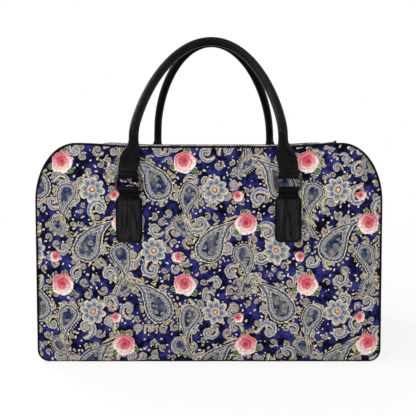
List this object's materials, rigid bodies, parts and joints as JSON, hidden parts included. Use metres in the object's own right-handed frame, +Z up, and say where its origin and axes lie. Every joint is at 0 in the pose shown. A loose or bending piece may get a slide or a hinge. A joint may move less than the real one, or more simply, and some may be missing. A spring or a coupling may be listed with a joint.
{
  "type": "duffle bag",
  "caption": "Soft printed travel duffle with piped panels, a full-length top zip and rolled black handles on metal ring links.",
  "frame": {"origin": "on the floor under the middle of the base", "axes": "+X to the right seen from the front, +Y from the front panel to the back panel, +Z up"},
  "size_m": [0.45, 0.2378, 0.44],
  "materials": {
    "printed_cover": "grained coated cloth with a printed paisley and rose pattern, satin",
    "black_leather": "fine-grained black synthetic leather, semi-matt",
    "dark_metal": "dark antique plating, satin",
    "zip_tape": "black woven tape",
    "zip_teeth": "black moulded teeth",
    "board": "black stiffener sheet"
  },
  "bodies": {
    "bag": {"front_panel": "printed_cover", "back_panel": "printed_cover", "left_end_panel": "printed_cover", "right_end_panel": "printed_cover", "base_panel": "printed_cover", "base_board": "board", "front_zip_facing": "printed_cover", "back_zip_facing": "printed_cover", "front_zip_tape": "zip_tape", "back_zip_tape": "zip_tape", "front_zip_teeth": "zip_teeth", "back_zip_teeth": "zip_teeth", "zip_end_stops": "dark_metal", "front_piping": "black_leather", "back_piping": "black_leather", "front_left_tab": "black_leather", "front_right_tab": "black_leather", "back_left_tab": "black_leather", "back_right_tab": "black_leather"},
    "front_left_ring": {"front_left_ring": "dark_metal"},
    "front_right_ring": {"front_right_ring": "dark_metal"},
    "front_handle": {"front_handle": "black_leather"},
    "back_left_ring": {"back_left_ring": "dark_metal"},
    "back_right_ring": {"back_right_ring": "dark_metal"},
    "back_handle": {"back_handle": "black_leather"},
    "zip_slider": {"zip_slider": "dark_metal"},
    "zip_pull": {"zip_pull": "dark_metal"}
  },
  "joints": [
    {"name": "front_left_ring_hinge", "type": "hinge", "parent": "bag", "child": "front_left_ring", "pos_m": [-0.102, -0.1126, 0.227], "axis": [1, 0, 0], "range_deg": [0, 110]},
    {"name": "front_right_ring_hinge", "type": "hinge", "parent": "bag", "child": "front_right_ring", "pos_m": [0.102, -0.1126, 0.227], "axis": [1, 0, 0], "range_deg": [0, 110]},
    {"name": "front_handle_hinge", "type": "hinge", "parent": "front_left_ring", "child": "front_handle", "pos_m": [-0.102, -0.1126, 0.246], "axis": [1, 0, 0], "range_deg": [0, 58]},
    {"name": "back_left_ring_hinge", "type": "hinge", "parent": "bag", "child": "back_left_ring", "pos_m": [-0.102, 0.1126, 0.227], "axis": [-1, 0, 0], "range_deg": [0, 110]},
    {"name": "back_right_ring_hinge", "type": "hinge", "parent": "bag", "child": "back_right_ring", "pos_m": [0.102, 0.1126, 0.227], "axis": [-1, 0, 0], "range_deg": [0, 110]},
    {"name": "back_handle_hinge", "type": "hinge", "parent": "back_left_ring", "child": "back_handle", "pos_m": [-0.102, 0.1126, 0.246], "axis": [-1, 0, 0], "range_deg": [0, 58]},
    {"name": "zip_slide", "type": "slide", "parent": "bag", "child": "zip_slider", "axis": [-1, 0, 0], "range_m": [0, 0.3656]},
    {"name": "zip_pull_hinge", "type": "hinge", "parent": "zip_slider", "child": "zip_pull", "pos_m": [0.1828, 0, 0.2876], "axis": [0, 1, 0], "range_deg": [0, 165]}
  ],
  "couplings": [
    {"joint": "front_right_ring_hinge", "follows": "front_left_ring_hinge", "ratio": 1},
    {"joint": "back_right_ring_hinge", "follows": "back_left_ring_hinge", "ratio": 1}
  ]
}
